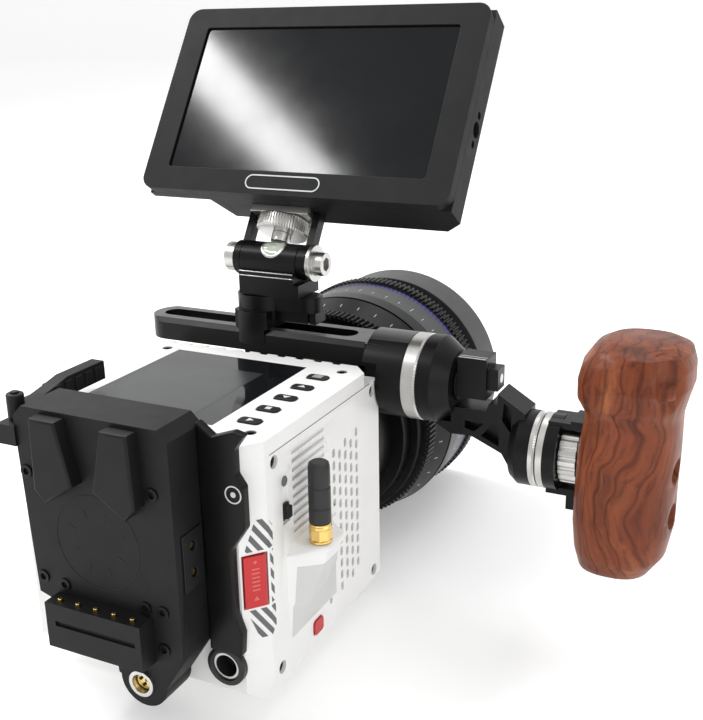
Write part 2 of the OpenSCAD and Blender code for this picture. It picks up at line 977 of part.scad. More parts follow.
module ribbed_knob() {
    color("silver")
        difference() {
            union() {
                along_x([108, knob_x[0]], [rail_y, ros2_z], bolt_r - fit);
                along_x(knob_x, [rail_y, ros2_z], 11.8);
            }
            for (i = [0:17])
                translate([0, rail_y, ros2_z])
                    rotate([i * 20, 0, 0])
                        translate([knob_x[0] - eps, 0, 12.3])
                            rotate([0, 90, 0])
                                cylinder(h = 8, r = 1.2, $fn = 24);
        }
}

// Rings of the grip: each row is a squared oval between its four sides
grip_sides = 36;
grip_steps = 3;

function blend_row(i, t) = let (s = (1 - cos(180 * t)) / 2 * 0.35 + t * 0.65)
    [for (k = [0:4]) grip_rows[i][k] * (1 - s) + grip_rows[i + 1][k] * s];

function all_rows() = concat(
    [for (i = [0:len(grip_rows) - 2], j = [0:grip_steps - 1]) blend_row(i, j / grip_steps)],
    [grip_rows[len(grip_rows) - 1]]);

function squared(v) = sign(v) * pow(abs(v), 0.8);

function ring_points(r) = [for (k = [0:grip_sides - 1]) let (a = k * 360 / grip_sides)
    [(r[1] + r[2]) / 2 + (r[2] - r[1]) / 2 * squared(cos(a)),
        (r[3] + r[4]) / 2 + (r[4] - r[3]) / 2 * squared(sin(a)), r[0]]];

module grip_body() {
    rows = all_rows();
    n = len(rows);
    points = [for (r = rows) each ring_points(r)];
    faces = concat([[for (k = [0:grip_sides - 1]) k]],
        [for (i = [0:n - 2], k = [0:grip_sides - 1]) let (a = i * grip_sides, b = (k + 1) % grip_sides)
            [a + k, a + grip_sides + k, a + grip_sides + b, a + b]],
        [[for (k = [0:grip_sides - 1]) (n - 1) * grip_sides + grip_sides - 1 - k]]);
    polyhedron(points, faces, convexity = 4);
}

module wooden_grip() {
    color("sienna")
        difference() {
            grip_body();
            block([120, rail_y - 7.2, 44.2], [adapter_x[1], rail_y + 7.2, 83.2]);
            along_x([120, 133.3], [rail_y, ros2_z], 13.5);
            for (p = grip_bolts) {
                along_x([130, 180], p, 2.8);
                along_x([158, 180], p, 5.2);
            }
        }
}

module grip_screws() {
    color("dimgray")
        for (p = grip_bolts) {
            along_x([133.4, 158], p, 2.5);
            translate([158, p[0], p[1]])
                rotate([0, 90, 0])
                    screw_head(3.4, 4.4);
        }
}

// ---- Assembly ----

body_shell();
top_cover();
right_panel();
screen_glass();
menu_button();
up_button();
down_button();
select_button();
play_button();
rec_button();
power_switch();
media_door();
dc_socket();
body_screws();
antenna_jack();
antenna_nut();
antenna_whip();
lens_mount();
lens_adapter();
sensor_block();
main_board();
fan_frame();
fan_rotor();
battery_plate();
plate_wing();
contact_block();
contact_pins();
plate_screws();
d_tap_socket();
power_socket();
release_lever();
lever_pin();
top_rail();
hub_rosette();
mount_post();
post_bolt();
tilt_base();
tilt_bolt();
tilt_yoke();
monitor_plate();
thumbwheel();
stud_cap();
monitor_bezel();
monitor_back();
monitor_glass();
monitor_board();
lens_barrel();
focus_ring();
iris_ring();
lens_hood();
lens_elements();
arm_disc();
clamp_lever();
extension_arm();
arm_rosette();
grip_rosette();
grip_adapter();
ribbed_knob();
wooden_grip();
grip_screws();
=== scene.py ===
"""Looks of the cinema camera rig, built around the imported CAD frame.

Shapes are given in millimetres; Shape.done turns them into metres.
Pieces that follow a CAD node closely are named after it, with _skin at the end.
"""

import json
import math

import bmesh
import bpy
from mathutils import Matrix, Vector

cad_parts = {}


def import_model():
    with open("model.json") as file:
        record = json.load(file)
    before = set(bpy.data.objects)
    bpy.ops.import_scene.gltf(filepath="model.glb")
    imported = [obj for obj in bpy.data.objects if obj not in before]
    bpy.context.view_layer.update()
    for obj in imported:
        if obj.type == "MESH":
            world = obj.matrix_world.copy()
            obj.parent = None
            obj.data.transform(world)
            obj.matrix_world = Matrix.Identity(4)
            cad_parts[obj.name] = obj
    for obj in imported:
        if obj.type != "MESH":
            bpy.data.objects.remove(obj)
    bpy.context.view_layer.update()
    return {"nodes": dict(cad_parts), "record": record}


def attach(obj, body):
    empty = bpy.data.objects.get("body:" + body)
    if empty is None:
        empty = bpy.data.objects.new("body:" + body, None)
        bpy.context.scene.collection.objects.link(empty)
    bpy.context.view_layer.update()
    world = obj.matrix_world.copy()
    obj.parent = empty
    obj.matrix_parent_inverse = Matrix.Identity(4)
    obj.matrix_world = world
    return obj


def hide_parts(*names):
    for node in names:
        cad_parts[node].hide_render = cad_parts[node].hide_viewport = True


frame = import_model()

BODY_OF = {n: b for b, ns in frame["record"]["behaviour"]["bodies"].items() for n in ns}
SLOT_OF = {s["node"]: s["material_slot"] for s in frame["record"]["subparts"]}

MM = 0.001
TINY = 1e-4  # radius that closes a turned profile on its axis
HALF_WIDTH = 50.6  # of the camera body
LENS_Z = 47.9  # height of the lens axis
TILT_Y, TILT_Z = 64, 134  # axis of the monitor's tilt
LEAN = math.radians(33.4)  # how far the monitor leans back at rest
HEAD = Matrix.Translation((0, TILT_Y, TILT_Z)) @ Matrix.Rotation(-LEAN, 4, "X")
GRIP_PIVOT = (64, 67)  # y and z of the rosettes at the grip

# The chamfered rear corner of the body, with its own frame: x along it, y into the body.
CORNER_A = Vector((43.8, -48.2))
CORNER_B = Vector((50.6, -40.0))
CORNER_MID = (CORNER_A + CORNER_B) / 2
CORNER_TURN = math.atan2(CORNER_B.y - CORNER_A.y, CORNER_B.x - CORNER_A.x)
CORNER = Matrix.Translation((CORNER_MID.x, CORNER_MID.y, 0)) @ Matrix.Rotation(CORNER_TURN, 4, "Z")


# ---------------------------------------------------------------- materials


class Nodes:
    """A material and the helpers that build its node tree."""

    def __init__(self, name):
        self.mat = bpy.data.materials.new(name)
        self.mat.use_nodes = True
        self.tree = self.mat.node_tree
        self.bsdf = self.tree.nodes["Principled BSDF"]
        self.where = self.tree.nodes.new("ShaderNodeTexCoord").outputs["Object"]

    def new(self, kind, **inputs):
        """Adds a node and sets or links its inputs, with _ for a space in a name."""
        n = self.tree.nodes.new(kind)
        for k, v in inputs.items():
            key = k.replace("_", " ")
            if isinstance(v, bpy.types.NodeSocket):
                self.link(v, n.inputs[key])
            else:
                n.inputs[key].default_value = v
        return n

    def link(self, a, b):
        self.tree.links.new(a, b)

    def noise(self, scale, detail, rough=0.55, vector=None):
        n = self.new("ShaderNodeTexNoise", Scale=scale, Detail=detail, Roughness=rough)
        self.link(vector or self.where, n.inputs["Vector"])
        return n.outputs["Fac"]

    def ramp(self, fac, *stops):
        """A colour ramp of (position, grey level or colour) stops."""
        r = self.tree.nodes.new("ShaderNodeValToRGB")
        e = r.color_ramp.elements
        while len(e) < len(stops):
            e.new(0.5)
        for el, (pos, col) in zip(e, stops):
            el.position = pos
            el.color = (*col, 1) if hasattr(col, "__len__") else (col, col, col, 1)
        self.link(fac, r.inputs["Fac"])
        return r.outputs["Color"]

    def mix(self, fac, a, b, mode="MIX"):
        """Mixes two colours, each a socket or a plain colour."""
        m = self.tree.nodes.new("ShaderNodeMix")
        m.data_type = "RGBA"
        m.blend_type = mode
        for sock, v in ((m.inputs[0], fac), (m.inputs[6], a), (m.inputs[7], b)):
            if isinstance(v, bpy.types.NodeSocket):
                self.link(v, sock)
            elif hasattr(v, "__len__"):
                sock.default_value = (*v, 1)
            else:
                sock.default_value = v
        return m.outputs[2]

    def base(self, color):
        self.link(color, self.bsdf.inputs["Base Color"])

    def gloss(self, fac, low, high):
        """Lets the roughness run from low to high."""
        r = self.new("ShaderNodeMapRange", Value=fac)
        r.inputs["To Min"].default_value = low
        r.inputs["To Max"].default_value = high
        self.link(r.outputs[0], self.bsdf.inputs["Roughness"])

    def bump(self, height, strength, distance):
        b = self.new("ShaderNodeBump", Height=height, Strength=strength, Distance=distance)
        self.link(b.outputs[0], self.bsdf.inputs["Normal"])


def grey(level):
    return (level, level, level)


def dim(c, k):
    """A colour made darker or lighter by a factor."""
    return tuple(min(1.0, v * k) for v in c)


EDGE_WEAR_AND_HIGHLIGHT = {}  # the look of a surface's rounded edges, partly wear and partly a painted highlight, by the name of the surface


def surface(
    name, color, rough, metal=0.0, spread=0.12, grain=900.0, relief=0.05, edge_wear_and_highlight=0.0,
    edge_wear_and_highlight_color=None, **fixed,
):
    """A manufactured surface: uneven colour and gloss, fine relief in mm, and rounded edges with
    wear and a painted highlight.
    """
    n = Nodes(name)
    broad = n.noise(38.0, 3.0)
    fine = n.noise(grain, 3.0, 0.6)
    patches = n.ramp(broad, (0.3, 0.0), (0.7, 1.0))
    n.base(n.mix(patches, dim(color, 1 - spread), dim(color, 1 + spread)))
    n.gloss(n.noise(130.0, 4.0), rough * 0.86, rough * 1.16)
    n.bsdf.inputs["Metallic"].default_value = metal
    for k, v in fixed.items():
        n.bsdf.inputs[k.replace("_", " ")].default_value = v
    n.bump(fine, 0.35, relief * MM)
    if edge_wear_and_highlight:
        # Rounded edges take a shifted colour, partly wear and partly a painted highlight: lighter
        # on most finishes, slightly darker on the white enamel.
        full_edge_tone = edge_wear_and_highlight_color or dim(color, 2.5)
        worn_highlit_edge = tuple(a + (b - a) * edge_wear_and_highlight * 0.5 for a, b in zip(color, full_edge_tone))
        EDGE_WEAR_AND_HIGHLIGHT[name] = surface(
            name + "_edge_wear_highlight", worn_highlit_edge, rough * 0.85, metal, spread=0.3, grain=400.0,
            relief=relief, **fixed,
        )
    return n.mat


def wood(name):
    """Oiled rosewood: flowing figure along the grip, darker veins, pores and a low finish."""
    n = Nodes(name)
    push = n.new("ShaderNodeTexNoise", Scale=15.0, Detail=3.0)
    n.link(n.where, push.inputs["Vector"])
    bent = n.tree.nodes.new("ShaderNodeVectorMath")
    bent.operation = "MULTIPLY_ADD"
    n.link(push.outputs["Color"], bent.inputs[0])
    bent.inputs[1].default_value = (0.042, 0.042, 0.03)
    n.link(n.where, bent.inputs[2])
    stretch = n.tree.nodes.new("ShaderNodeMapping")
    stretch.inputs["Scale"].default_value = (1.0, 1.0, 0.11)
    n.link(bent.outputs[0], stretch.inputs["Vector"])
    along = stretch.outputs[0]
    figure = n.noise(95.0, 5.0, 0.6, along)
    streak = n.noise(430.0, 6.0, 0.7, along)
    rings = n.new("ShaderNodeTexWave", Scale=46.0, Distortion=7.0, Detail=3.0)
    rings.inputs["Detail Scale"].default_value = 1.4
    n.link(along, rings.inputs["Vector"])
    col = n.ramp(
        figure, (0.3, (0.075, 0.018, 0.009)), (0.43, (0.19, 0.046, 0.017)),
        (0.58, (0.25, 0.066, 0.024)), (0.74, (0.4, 0.135, 0.05)),
    )
    veins = n.ramp(
        rings.outputs["Fac"], (0.0, (0.42, 0.36, 0.33)), (0.05, (0.68, 0.62, 0.58)),
        (0.16, (1, 1, 1)),
    )
    col = n.mix(0.85, col, veins, "MULTIPLY")
    pores = n.ramp(
        streak, (0.34, (0.4, 0.34, 0.32)), (0.5, (1, 1, 1)), (0.7, (1.25, 1.18, 1.1))
    )
    col = n.mix(0.85, col, pores, "MULTIPLY")
    dark = n.ramp(n.noise(21.0, 2.0, 0.5), (0.42, 0.0), (0.75, 0.5))
    n.base(n.mix(dark, col, (0.12, 0.025, 0.011)))
    n.gloss(streak, 0.32, 0.48)
    n.bsdf.inputs["Coat Weight"].default_value = 0.05
    n.bsdf.inputs["Specular IOR Level"].default_value = 0.2
    n.bsdf.inputs["Coat Roughness"].default_value = 0.2
    n.bump(streak, 0.25, 0.1 * MM)
    return n.mat


def display(name, color, rough):
    """Dark glass with a faint smear in its gloss."""
    n = Nodes(name)
    smear = n.noise(30.0, 3.0, 0.6)
    n.base(n.mix(smear, dim(color, 0.8), dim(color, 1.2)))
    n.gloss(smear, rough * 0.6, rough * 1.6)
    return n.mat


MATT = {"Specular_IOR_Level": 0.22}  # black finishes that mirror little of the room

WHITE = surface(
    "white_enamel", (0.83, 0.83, 0.815), 0.36, spread=0.025, grain=1500, relief=0.04,
    edge_wear_and_highlight=0.35, edge_wear_and_highlight_color=(0.62, 0.62, 0.6),
)
BLACK = surface(
    "black_anodised", (0.0038, 0.0039, 0.0041), 0.34, metal=0.1, spread=0.2, grain=2400,
    relief=0.02, edge_wear_and_highlight=0.5, edge_wear_and_highlight_color=grey(0.12), **MATT,
)
SATIN = surface(
    "satin_anodised", (0.034, 0.035, 0.036), 0.4, metal=0.6, grain=2400, relief=0.02,
    edge_wear_and_highlight=0.6, edge_wear_and_highlight_color=grey(0.35),
)
PLASTIC = surface(
    "black_moulding", (0.0072, 0.0074, 0.0077), 0.52, spread=0.16, grain=1700, relief=0.07,
    edge_wear_and_highlight=0.4, edge_wear_and_highlight_color=grey(0.07), **MATT,
)
MONITOR = surface(
    "monitor_shell", (0.0085, 0.0088, 0.0092), 0.58, grain=2600, relief=0.06, edge_wear_and_highlight=0.35,
    edge_wear_and_highlight_color=grey(0.08), **MATT,
)
KEY = surface(
    "key_black", (0.012, 0.012, 0.0125), 0.42, grain=2000, relief=0.03, edge_wear_and_highlight=0.3, **MATT
)
RED = surface(
    "red_enamel", (0.5, 0.014, 0.016), 0.4, spread=0.1, grain=1500, relief=0.03, edge_wear_and_highlight=0.2,
    edge_wear_and_highlight_color=(0.65, 0.1, 0.09),
)
STEEL = surface(
    "satin_steel", (0.62, 0.61, 0.59), 0.3, metal=1.0, spread=0.08, grain=2600, relief=0.03,
    edge_wear_and_highlight=0.4, edge_wear_and_highlight_color=(0.85, 0.85, 0.84),
)
GOLD = surface(
    "gold_plate", (0.86, 0.6, 0.2), 0.22, metal=1.0, spread=0.1, grain=1600, relief=0.03,
    edge_wear_and_highlight=0.4, edge_wear_and_highlight_color=(0.95, 0.8, 0.5),
)
LENS_BLACK = surface(
    "lens_black", (0.0045, 0.0046, 0.0049), 0.33, metal=0.2, spread=0.2, grain=2600,
    relief=0.02, edge_wear_and_highlight=0.4, edge_wear_and_highlight_color=grey(0.1), **MATT,
)
LENS_GREY = surface(
    "lens_grey", (0.052, 0.054, 0.053), 0.45, metal=0.2, spread=0.08, grain=2600,
    relief=0.02, edge_wear_and_highlight=0.3,
)
# A lighter copy of the black finish for the rail's top faces: a painted sheen.
RAIL_TOP_PAINTED_SHEEN = surface(
    "rail_top_painted_sheen", grey(0.1), 0.32, metal=0.6, spread=0.1, grain=2400, relief=0.02
)
BAND = surface(
    "scale_band", (0.055, 0.057, 0.058), 0.38, metal=0.3, spread=0.06, grain=2600, relief=0.02
)
RUBBER = surface(
    "antenna_rubber", (0.012, 0.012, 0.0125), 0.5, spread=0.2, grain=1300, relief=0.1
)
PALE_PAD = surface(
    "pale_grey_pad", (0.6, 0.605, 0.6), 0.42, spread=0.03, grain=1500, relief=0.04
)
SCREEN_MESH = surface(
    "dust_screen", (0.035, 0.034, 0.033), 0.7, spread=0.2, grain=3000, relief=0.3
)
BOARD = surface("circuit_board", (0.02, 0.11, 0.05), 0.45, spread=0.2, grain=700, relief=0.1)
RED_PRINT = surface("red_relief", (0.62, 0.12, 0.11), 0.45, spread=0.08)
GREY_PRINT = surface("grey_print", (0.11, 0.115, 0.12), 0.5, spread=0.1)
PALE_PRINT = surface("pale_print", (0.62, 0.63, 0.64), 0.5, spread=0.06)
VIOLET = surface("violet_line", (0.04, 0.034, 0.2), 0.35, spread=0.1)
SHADOW = surface("dark_gap", grey(0.006), 0.8, spread=0.2)
LEVEL = surface("level_vial", (0.55, 0.6, 0.5), 0.08, spread=0.1, Coat_Weight=1.0)
SCREEN = display("display_glass", (0.006, 0.0068, 0.0078), 0.05)
MONITOR_GLASS = display("monitor_display", (0.0045, 0.005, 0.0062), 0.1)
MONITOR_GLASS.node_tree.nodes["Principled BSDF"].inputs["Specular IOR Level"].default_value = 0.26
ACTIVE = display("display_area", (0.03, 0.032, 0.034), 0.22)
COATED = display("coated_glass", (0.01, 0.012, 0.022), 0.02)
WOOD = wood("rosewood")

# The material of each slot, for the nodes that keep their CAD shape.
LOOK = {
    "white_paint": WHITE, "black_anodised": BLACK, "grey_anodised": SATIN,
    "bright_metal": STEEL, "gold_plate": GOLD, "black_plastic": PLASTIC, "key_plastic": KEY,
    "red_plastic": RED, "screen_glass": SCREEN, "lens_glass": COATED, "lens_grey": LENS_GREY,
    "antenna_rubber": RUBBER, "board_green": BOARD, "grip_wood": WOOD,
}
# Nodes whose material or whose edge rounding differs from the rest.
OWN_LOOK = {
    "monitor_glass": MONITOR_GLASS, "monitor_bezel": MONITOR, "monitor_back": MONITOR,
    "lever_pin": BLACK,
}
OWN_ROUNDING = {"monitor_glass": 0, "plate_wing": 0.7, "clamp_lever": 0.5}
ROUNDING = 0.25


# ---------------------------------------------------------------- shapes

WELD = 0.0006  # vertices closer than this become one
BEVEL_ANGLE = math.radians(32)  # edges sharper than this are rounded
TOOTH = [0, 0, 1, 1]  # two points out, two points in
FINE_TOOTH = [0, 1]  # one point out, one point in


def to3(axis, a, b, t):
    """A point from two cross coordinates and one along the axis."""
    return {"x": (t, a, b), "y": (a, t, b), "z": (a, b, t)}[axis]


def rect(cx, cy, w, h):
    """The outline of a rectangle about a centre, from its half width and half height."""
    return [(cx - w, cy - h), (cx + w, cy - h), (cx + w, cy + h), (cx - w, cy + h)]


class Shape:
    """Collects solids into one mesh. A solid's mat is an index into the piece's materials,
    and its m is a matrix that places it."""

    def __init__(self):
        self.bm = bmesh.new()

    def faces(self, verts, faces, mat=0, m=None):
        """Adds faces; mat may be a list with one index for each face."""
        vs = [self.bm.verts.new((m @ Vector(v)) if m else v) for v in verts]
        for i, f in enumerate(faces):
            if len(set(f)) < 3:
                continue
            face = self.bm.faces.new([vs[k] for k in f])
            face.material_index = mat[i] if isinstance(mat, list) else mat

    def box(self, lo, hi, mat=0, m=None):
        """A block between its lowest and highest corners."""
        v = [(x, y, z) for x in (lo[0], hi[0]) for y in (lo[1], hi[1]) for z in (lo[2], hi[2])]
        f = [(0, 1, 3, 2), (4, 6, 7, 5), (0, 4, 5, 1), (2, 3, 7, 6), (0, 2, 6, 4), (1, 5, 7, 3)]
        self.faces(v, f, mat, m)

    def prism(self, outline, axis, t0, t1, mat=0, m=None):
        """Extrudes a flat outline: (y, z) for axis x, (x, z) for y, (x, y) for z."""
        n = len(outline)
        v = [to3(axis, *p, t) for t in (t0, t1) for p in outline]
        f = [tuple(range(n)), tuple(range(2 * n - 1, n - 1, -1))]
        f += [(i, (i + 1) % n, n + (i + 1) % n, n + i) for i in range(n)]
        self.faces(v, f, mat, m)

    def lathe(self, rings, axis, at, sides, closed=True, m=None, pattern=None, phase=0.0):
        """Turns (radius, station, material, tooth depth) rings about an axis through at.

        A closed profile joins its last ring to its first. The pattern says, point by point
        round the ring, how much of the tooth depth is cut away."""
        verts, faces, mats = [], [], []
        n = len(rings)
        for ring in rings:
            r, t = ring[0], ring[1]
            depth = ring[3] if len(ring) > 3 else 0.0
            for k in range(sides):
                a = 2 * math.pi * (k + phase) / sides
                rr = r - (depth * pattern[k % len(pattern)] if depth else 0.0)
                verts.append(to3(axis, at[0] + rr * math.cos(a), at[1] + rr * math.sin(a), t))
        for i in range(n if closed else n - 1):
            j = (i + 1) % n
            for k in range(sides):
                q = (k + 1) % sides
                faces.append((i * sides + k, i * sides + q, j * sides + q, j * sides + k))
                mats.append(rings[i][2] if len(rings[i]) > 2 else 0)
        self.faces(verts, faces, mats, m)

    def cyl(self, axis, at, t0, t1, r, mat=0, sides=48, m=None, c=0.0):
        """A closed cylinder with its rims chamfered by c."""
        s = 1 if t1 > t0 else -1
        rings = [(TINY, t0, mat), (r - c, t0, mat)]
        if c:
            rings += [(r, t0 + s * c, mat), (r, t1 - s * c, mat)]
        rings += [(r - c, t1, mat), (TINY, t1, mat)]
        self.lathe(rings, axis, at, sides, False, m)

    def screw(self, axis, at, t0, t1, r):
        """A chamfered screw head with a six-sided socket in material 1."""
        d = 1 if t1 > t0 else -1
        sides, mouth = 28, r * 0.56
        self.lathe(
            [(r * 0.96, t0), (r, t0 + d * 0.1), (r, t1 - d * 0.25), (r - 0.25, t1),
             (mouth, t1, 1)],
            axis, at, sides, False,
        )
        self.lathe(
            [(mouth, t1, 1), (r * 0.52, t1 - d * 0.8, 1), (TINY, t1 - d * 0.8, 1)],
            axis, at, 6, False,
        )
        self.lathe([(mouth, t1 - d * 0.01), (r * 0.2, t1 - d * 0.9)], axis, at, sides, False)

    def loft(self, rows, mat=0):
        """Joins rings of points with the same count into a skin."""
        n = len(rows[0])
        verts = [p for r in rows for p in r]
        faces = [
            (i * n + k, i * n + (k + 1) % n, (i + 1) * n + (k + 1) % n, (i + 1) * n + k)
            for i in range(len(rows) - 1)
            for k in range(n)
        ]
        self.faces(verts, faces, mat)

    def cad(self, node, flat=0.4):
        """Copies a CAD node's own shape, and joins faces within flat degrees of each other."""
        src = bmesh.new()
        src.from_mesh(frame["nodes"][node].data)
        for v in src.verts:
            v.co /= MM
        bmesh.ops.remove_doubles(src, verts=src.verts, dist=0.002)
        if flat:
            bmesh.ops.dissolve_limit(
                src, angle_limit=math.radians(flat), verts=src.verts, edges=src.edges
            )
        for f in src.faces:
            f.material_index = 0
        spare = bpy.data.meshes.new("spare")
        src.to_mesh(spare)
        src.free()
        self.bm.from_mesh(spare)
        bpy.data.meshes.remove(spare)
        return self

    def paint(self, mat, where):
        """Gives a material to the faces for which where(centre, normal) holds."""
        for f in self.bm.faces:
            if where(f.calc_center_median(), f.normal):
                f.material_index = mat

    def skin(self, node, mats, **finish):
        """Finishes a piece that takes the place of a CAD node."""
        self.done(node + "_skin", BODY_OF[node], mats, SLOT_OF[node], node, **finish)

    def done(
        self, name, body, mats, slot, replaces=None, bevel=0.0, segments=2, sharp=40.0,
        weigh=False,
    ):
        """Makes the piece. Edges get a bevel in mm, or are sharp above an angle in degrees;
        weigh keeps broad faces flat in their shading where the mesh has its own bevels."""
        bm = self.bm
        bmesh.ops.remove_doubles(bm, verts=bm.verts, dist=WELD)
        bmesh.ops.recalc_face_normals(bm, faces=bm.faces)
        bmesh.ops.scale(bm, vec=(MM, MM, MM), verts=bm.verts)
        mesh = bpy.data.meshes.new(name)
        for m in mats if isinstance(mats, list) else [mats]:
            mesh.materials.append(m)
        bm.to_mesh(mesh)
        bm.free()
        mesh.polygons.foreach_set("use_smooth", [True] * len(mesh.polygons))
        obj = bpy.data.objects.new(name, mesh)
        bpy.context.scene.collection.objects.link(obj)
        if bevel:
            b = obj.modifiers.new("rounding", "BEVEL")
            b.width = bevel * MM
            b.segments = segments
            b.limit_method = "ANGLE"
            b.angle_limit = BEVEL_ANGLE
            b.use_clamp_overlap = True
            # The bevel's faces take the edge colour: wear and a painted highlight.
            worn_highlit_edge = EDGE_WEAR_AND_HIGHLIGHT.get(mesh.materials[0].name)
            if worn_highlit_edge:
                mesh.materials.append(worn_highlit_edge)
                b.material = len(mesh.materials) - 1
        else:
            mesh.set_sharp_from_angle(angle=math.radians(sharp))
        if bevel or weigh:
            flat = obj.modifiers.new("flat_faces", "WEIGHTED_NORMAL")
            flat.mode = "FACE_AREA"
            flat.weight = 100
            flat.thresh = 0.01
            flat.keep_sharp = True
        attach(obj, body)
        if replaces:
            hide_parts(replaces)


def clip(poly, region):
    """The part of a flat outline inside a convex region drawn anticlockwise."""
    for (ax, ay), (bx, by) in zip(region, region[1:] + region[:1]):
        side = [(bx - ax) * (y - ay) - (by - ay) * (x - ax) for x, y in poly]
        kept = []
        for k, p in enumerate(poly):
            q, a, b = poly[(k + 1) % len(poly)], side[k], side[(k + 1) % len(poly)]
            if a >= 0:
                kept.append(p)
            if a * b < 0:
                t = a / (a - b)
                kept.append((p[0] + (q[0] - p[0]) * t, p[1] + (q[1] - p[1]) * t))
        poly = kept
        if len(poly) < 3:
            return []
    return poly


def smooth(t):
    """Eases from 0 to 1 as t does, and stays there outside that range."""
    t = min(1.0, max(0.0, t))
    return t * t * (3 - 2 * t)


# ---------------------------------------------------------------- camera body


def body_panels():
    """The painted body, its top and its right side without the CAD's antenna boss."""
    mats = [WHITE, SHADOW]
    Shape().cad("body_shell").skin("body_shell", mats, bevel=0.9, segments=3)
    Shape().cad("top_cover").skin("top_cover", mats, bevel=0.5, segments=3)

    def on_boss(f):
        """Beyond the panel's face, or a side that starts on it."""
        if all(v.co.x > HALF_WIDTH + 0.03 for v in f.verts):
            return True
        return all(v.co.x > HALF_WIDTH - 0.01 for v in f.verts) and abs(f.normal.x) < 0.9

    panel = Shape().cad("right_panel", flat=0)
    boss = [f for f in panel.bm.faces if on_boss(f)]
    bmesh.ops.delete(panel.bm, geom=boss, context="FACES")
    panel.skin("right_panel", mats, sharp=24)


def antenna_mound():
    """The swelling under the antenna: a level shelf on top that fades into the panel below."""
    y0, y1 = -28.3, 11.3
    foot, shelf = 14.6, 52.8
    count = 44  # steps along y

    def swell(z):
        return 0.97 * smooth((z - foot) / 46) + 0.08 * smooth((z - foot) / 8)

    # Rows from the top down: height, and the share of the full thickness reached there. The
    # first and last rows are sunk into the panel.
    rows = [(shelf + 0.25, 0.0), (shelf, 0.02), (shelf, 0.5), (shelf, 0.9)]
    rows += [(shelf - 0.25, 0.955), (shelf - 0.8, 0.985), (shelf - 1.8, 1.0)]
    rows += [(z, swell(z)) for z in [50.4 - 2.2 * k for k in range(17)]]
    rows.append((foot, -0.02))
    verts = []
    for z, share in rows:
        near_top = smooth((z - 44) / 7)
        for i in range(count + 1):
            y = y0 + (y1 - y0) * i / count
            full = 12.9 * smooth((y - y0) / 8) ** 0.7 * smooth((6 - y) / 17) ** 0.7
            pad = 0.9 * smooth((y - y0) / 2.5) * smooth((y1 - y) / 2.5)
            pad *= smooth((z - foot) / 3) * (share > 0.3)
            # The shelf sinks towards its two ends, and the outer edges go under the panel.
            drop = 3.2 * near_top * (1 - smooth((y - y0) / 6) * smooth((3 - y) / 12))
            lift = 0.3 * (0 < i < count) * (share > 0) - 0.25
            verts.append((HALF_WIDTH + lift + full * max(share, 0) + pad, y, z - drop))
    w = count + 1
    faces = [
        (r * w + i, r * w + i + 1, (r + 1) * w + i + 1, (r + 1) * w + i)
        for r in range(len(rows) - 1)
        for i in range(count)
    ]
    s = Shape()
    s.faces(verts, faces)
    s.paint(1, lambda c, n: 16.2 < c.z < 45.2 and -26.2 < c.y < 9.4)
    s.box((HALF_WIDTH - 2.4, -28, 15), (HALF_WIDTH, 11, shelf))
    s.done("antenna_mound", "camera", [WHITE, PALE_PAD], "white_paint", sharp=50)


def vent_screen():
    """The dust screen behind the side vents."""
    s = Shape()
    s.box((48.4, 2.5, 11), (48.7, 33, 79))
    s.done("vent_screen", "camera", SCREEN_MESH, "grey_anodised")


def corner_stripes():
    """Plain diagonal stripes round the media door and on the strip beside it.

    They are drawn in the corner's frame, and fold over its edge onto the side."""
    edge, wide, side_offset = 5.32, 12, 40.0
    reach, width, pitch = 20, 3.1, 5.7
    regions = [
        [(-3.6, 58.8), (8.2, 58.8), (8.2, 66.6), (5.2, 70.4), (0.8, 70.4)],
        [(-3.6, 36.2), (0.8, 24.6), (5.2, 24.6), (8.2, 27.4), (8.2, 36.2)],
        [(6.0, 37.4), (7.9, 37.4), (7.9, 57.6), (6.0, 57.6)],
    ]
    s = Shape()
    for region in regions:
        for k in range(-4, 12):
            base = region[0][1] - reach + k * pitch
            foot, head = base - 12, base + 16
            band = [(wide, foot), (wide, foot + width), (-8, head + width), (-8, head)]
            inside = clip(band, region)
            on_corner = clip(inside, [(-8, 0), (edge, 0), (edge, 100), (-8, 100)])
            if len(on_corner) >= 3:
                s.prism(on_corner, "y", 0.05, -0.12, 0, CORNER)
            on_side = clip(inside, [(edge, 0), (wide, 0), (wide, 100), (edge, 100)])
            if len(on_side) >= 3:
                folded = [(u - edge - side_offset, z) for u, z in on_side]
                s.prism(folded, "x", HALF_WIDTH - 0.05, HALF_WIDTH + 0.12)
    s.done("corner_stripes", "camera", GREY_PRINT, "key_plastic")


def key_symbols():
    """Symbols on the keys: bars, up, down, square and play."""
    x, pitch = 36.4, 12.7
    z0, z1 = 98.75, 98.87

    def arrow(y, d):
        return [(x - 1.7, y - d * 0.9), (x + 1.7, y - d * 0.9), (x, y + d * 1.1)]

    play = [(x - 1, -2 * pitch - 1.4), (x + 1.5, -2 * pitch), (x - 1, -2 * pitch + 1.4)]
    symbols = {
        "menu_button": [rect(x, 2 * pitch + v, 2, 0.22) for v in (-1.1, 0, 1.1)],
        "up_button": [arrow(pitch, 1)],
        "down_button": [arrow(0, -1)],
        "select_button": [rect(x, -pitch, 1.1, 1.1)],
        "play_button": [play],
    }
    for node, outlines in symbols.items():
        s = Shape()
        for outline in outlines:
            s.prism(outline, "z", z0, z1)
        s.done(node + "_symbol", BODY_OF[node], PALE_PRINT, "white_paint")


